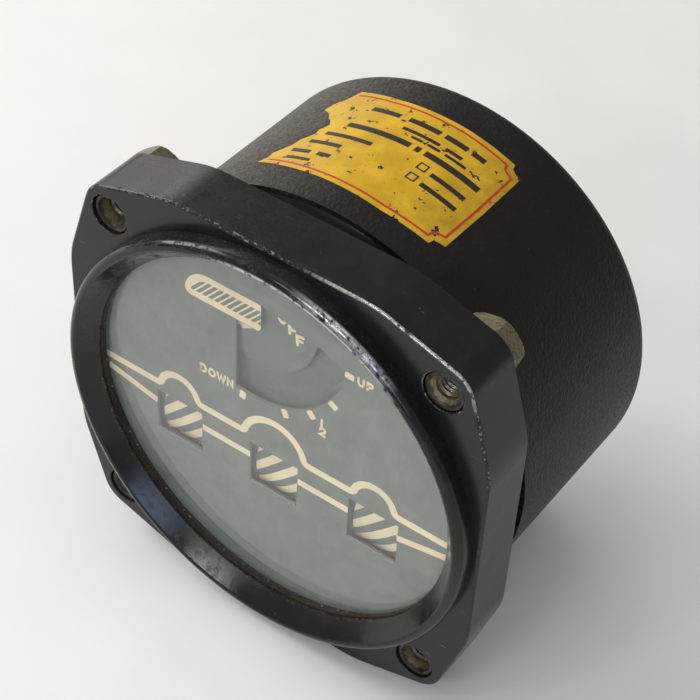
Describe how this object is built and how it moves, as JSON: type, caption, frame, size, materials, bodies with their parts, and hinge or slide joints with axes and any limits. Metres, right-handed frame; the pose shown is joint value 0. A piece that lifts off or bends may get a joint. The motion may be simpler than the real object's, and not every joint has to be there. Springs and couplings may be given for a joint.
{
  "type": "wheel and flap position indicator",
  "caption": "Aircraft panel instrument: a flap pointer and magnetic wheel drums behind a grey dial, in a flanged bezel with a drum-shaped case and a rear receptacle.",
  "frame": {"origin": "centre of the flange's front face, which seats against the back of the panel", "axes": "-Y out of the dial towards the viewer, +X to the dial's right, +Z to the dial's top, the case extends along +Y"},
  "size_m": [0.0816, 0.0719, 0.0816],
  "materials": {
    "black_enamel": "gloss black enamel, worn at the edges",
    "black_crackle": "matt black fine texture",
    "brass_tarnished": "tarnished, greenish",
    "worn_brass": "painted black, worn through to the metal",
    "glass": "clear, slightly hazy",
    "black_rubber": "matt",
    "dial_grey": "matt grey paint",
    "black_anodised": "satin black",
    "spring_steel": "ground",
    "drum_paint": "matt grey with cream marks",
    "magnet_alloy": "cast",
    "core_iron": "laminated",
    "copper_wire": "enamelled copper wire",
    "copper_cup": "drawn copper",
    "bearing_brass": "turned",
    "frame_aluminium": "as cut",
    "pillar_brass": "turned",
    "screw_steel": "plated",
    "phenolic": "brown phenolic",
    "receptacle_alloy": "dull plated",
    "silver_pins": "silver plated"
  },
  "bodies": {
    "instrument": {"bezel_flange": "black_enamel", "board_standoffs": "pillar_brass", "bracket_screws": "screw_steel", "case_can": "black_crackle", "case_screws": "screw_steel", "case_studs": "pillar_brass", "cover_glass": "glass", "dial_plate": "dial_grey", "dial_spacer": "black_anodised", "drum_bearings": "bearing_brass", "drum_bracket_left": "frame_aluminium", "drum_bracket_nose": "frame_aluminium", "drum_bracket_right": "frame_aluminium", "drum_coils_left": "copper_wire", "drum_coils_nose": "copper_wire", "drum_coils_right": "copper_wire", "drum_core_left": "core_iron", "drum_core_nose": "core_iron", "drum_core_right": "core_iron", "flap_bearings": "bearing_brass", "flap_damping_cup": "copper_cup", "flap_park_magnet": "magnet_alloy", "flap_stator_core": "core_iron", "flap_stator_winding": "copper_wire", "frame_pillars": "pillar_brass", "front_plate": "dial_grey", "glass_gasket": "black_rubber", "glass_ring": "worn_brass", "mount_inserts": "brass_tarnished", "pillar_nuts": "bearing_brass", "plate_snap_ring": "spring_steel", "rear_plate": "frame_aluminium", "receptacle_gasket": "black_rubber", "receptacle_insert": "phenolic", "receptacle_nuts": "screw_steel", "receptacle_pins": "silver_pins", "receptacle_screws": "screw_steel", "receptacle_shell": "receptacle_alloy", "stator_bolts": "screw_steel", "stator_bracket": "frame_aluminium", "stator_clamp_ring": "frame_aluminium", "stator_washers": "bearing_brass", "terminal_board": "phenolic", "terminal_posts": "bearing_brass"},
    "flap_rotor": {"flap_pointer": "dial_grey", "flap_collet": "bearing_brass", "flap_shaft": "spring_steel", "flap_rotor_magnet": "magnet_alloy"},
    "wheel_left": {"drum_left": "drum_paint", "drum_shaft_left": "spring_steel", "drum_magnet_left": "magnet_alloy"},
    "wheel_nose": {"drum_nose": "drum_paint", "drum_shaft_nose": "spring_steel", "drum_magnet_nose": "magnet_alloy"},
    "wheel_right": {"drum_right": "drum_paint", "drum_shaft_right": "spring_steel", "drum_magnet_right": "magnet_alloy"}
  },
  "joints": [
    {"name": "flap_rotation", "type": "hinge", "parent": "instrument", "child": "flap_rotor", "pos_m": [-0.0045, 0.00465, 0.0241], "axis": [0, -1, 0], "range_deg": [0, 146.4], "stiffness_Nm_per_rad": 0.0005},
    {"name": "wheel_left_rotation", "type": "hinge", "parent": "instrument", "child": "wheel_left", "pos_m": [-0.01995, 0.01482, -0.01025], "axis": [1, 0, 0], "range_deg": [-80, 80], "stiffness_Nm_per_rad": 0.0004},
    {"name": "wheel_nose_rotation", "type": "hinge", "parent": "instrument", "child": "wheel_nose", "pos_m": [0, 0.01482, -0.01025], "axis": [1, 0, 0], "range_deg": [-80, 80], "stiffness_Nm_per_rad": 0.0004},
    {"name": "wheel_right_rotation", "type": "hinge", "parent": "instrument", "child": "wheel_right", "pos_m": [0.01995, 0.01482, -0.01025], "axis": [1, 0, 0], "range_deg": [-80, 80], "stiffness_Nm_per_rad": 0.0004}
  ]
}
